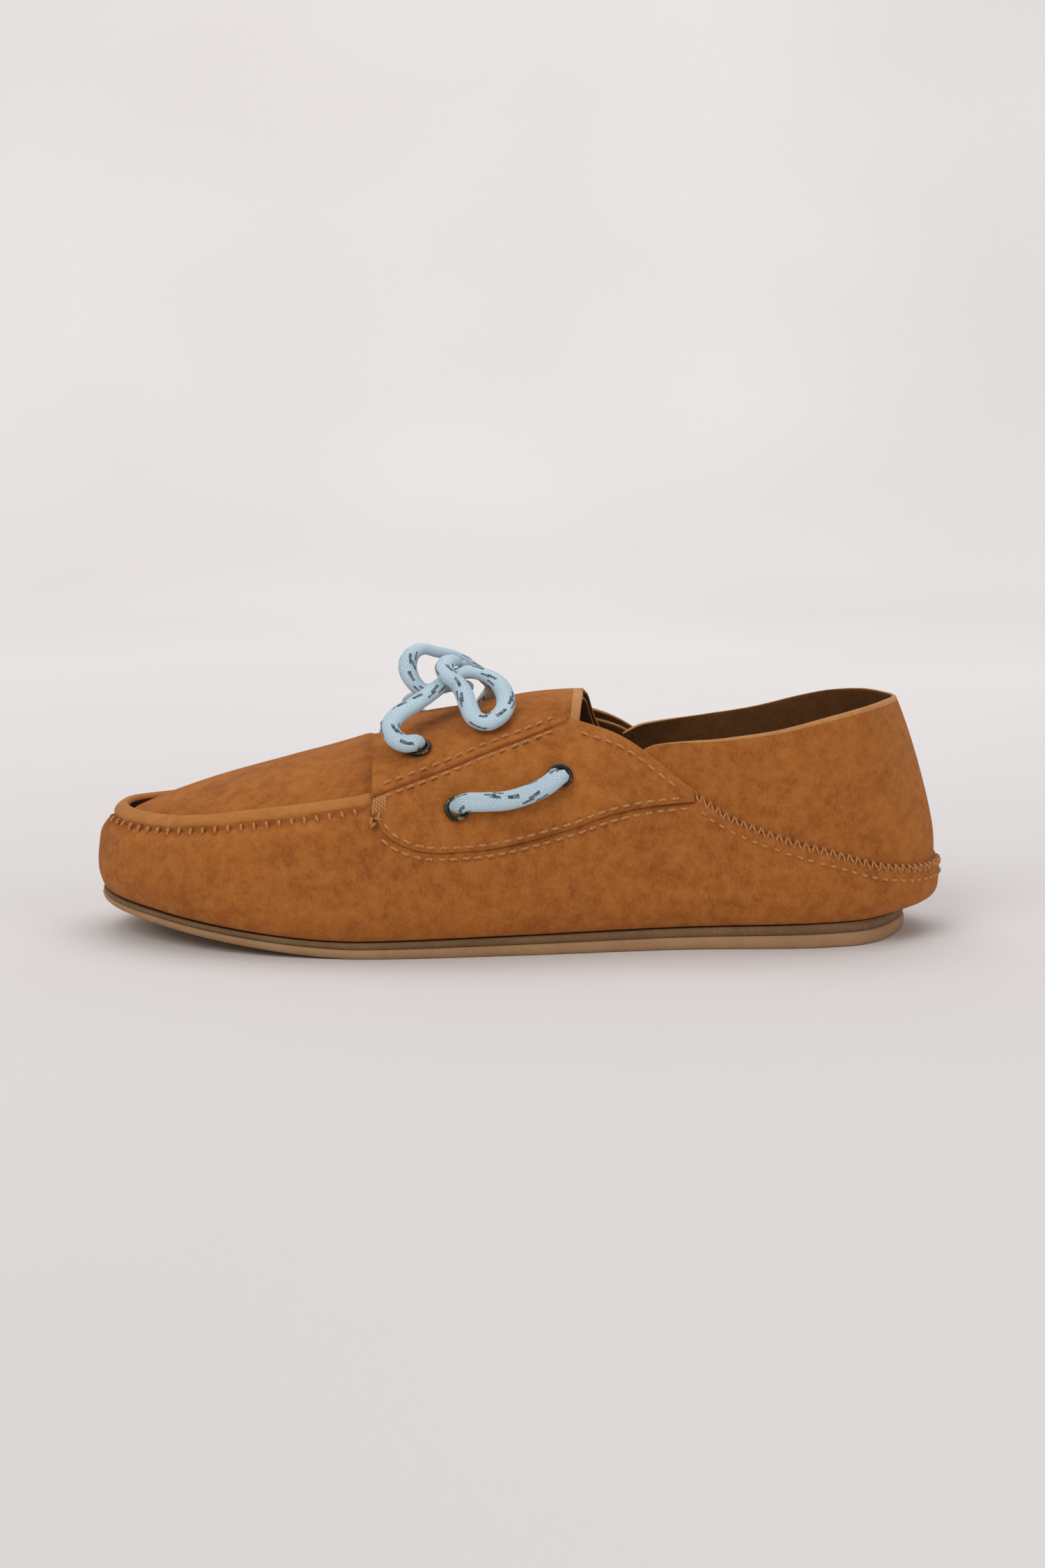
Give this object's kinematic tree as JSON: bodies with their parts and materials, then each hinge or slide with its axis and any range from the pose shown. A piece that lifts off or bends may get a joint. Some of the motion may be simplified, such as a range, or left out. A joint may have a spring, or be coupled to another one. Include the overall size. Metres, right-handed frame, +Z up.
{
  "type": "moccasin",
  "caption": "Low suede moccasin with a flat rubber sole, raised toe seam, laced instep, side eyelets and a soft fold-down heel.",
  "frame": {"origin": "on the ground below the middle of the shoe's length and width", "axes": "+Z up, +X towards the heel, -X towards the toe, -Y the outer (lateral) side of the left shoe"},
  "size_m": [0.25, 0.0923, 0.0845],
  "materials": {
    "suede": "cognac suede, napped",
    "inner_suede": "brown flesh side, matt",
    "outsole_rubber": "tan crepe-like rubber, matt",
    "midsole_rubber": "olive-brown rubber, matt",
    "board": "pressed fibre board",
    "foam": "cushion foam",
    "eyelet_metal": "dark gunmetal plating",
    "lace": "light blue flat braid with dark flecks",
    "aglet_film": "clear film over the braid"
  },
  "bodies": {
    "root": {"outsole": "outsole_rubber", "midsole": "midsole_rubber", "insole_board": "board", "footbed": "foam", "sock_lining": "inner_suede", "lower_vamp": "suede", "plug": "suede", "saddle_lateral": "suede", "saddle_medial": "suede", "eyestay_lateral": "suede", "eyestay_medial": "suede", "eyelet_front_lateral": "eyelet_metal", "eyelet_side_front_lateral": "eyelet_metal", "eyelet_side_rear_lateral": "eyelet_metal", "eyelet_front_medial": "eyelet_metal", "eyelet_side_front_medial": "eyelet_metal", "eyelet_side_rear_medial": "eyelet_metal", "bow_lace_lateral": "lace", "bow_lace_medial": "lace", "side_lace_lateral": "lace", "side_lace_medial": "lace", "aglet_lateral": "aglet_film", "aglet_medial": "aglet_film"},
    "tongue": {"tongue_outer": "suede", "tongue_lining": "inner_suede"},
    "heel": {"heel_quarter": "suede"}
  },
  "joints": [
    {"name": "tongue_press", "type": "hinge", "parent": "root", "child": "tongue", "pos_m": [-0.0402, 0, 0.0583], "axis": [0, 1, 0], "range_deg": [0, 9], "stiffness_Nm_per_rad": 0.3},
    {"name": "heel_fold", "type": "hinge", "parent": "root", "child": "heel", "pos_m": [0.046, 0, 0.048], "axis": [0, 1, 0], "range_deg": [0, 38], "stiffness_Nm_per_rad": 0.3, "deforming": ["heel_quarter"]}
  ]
}
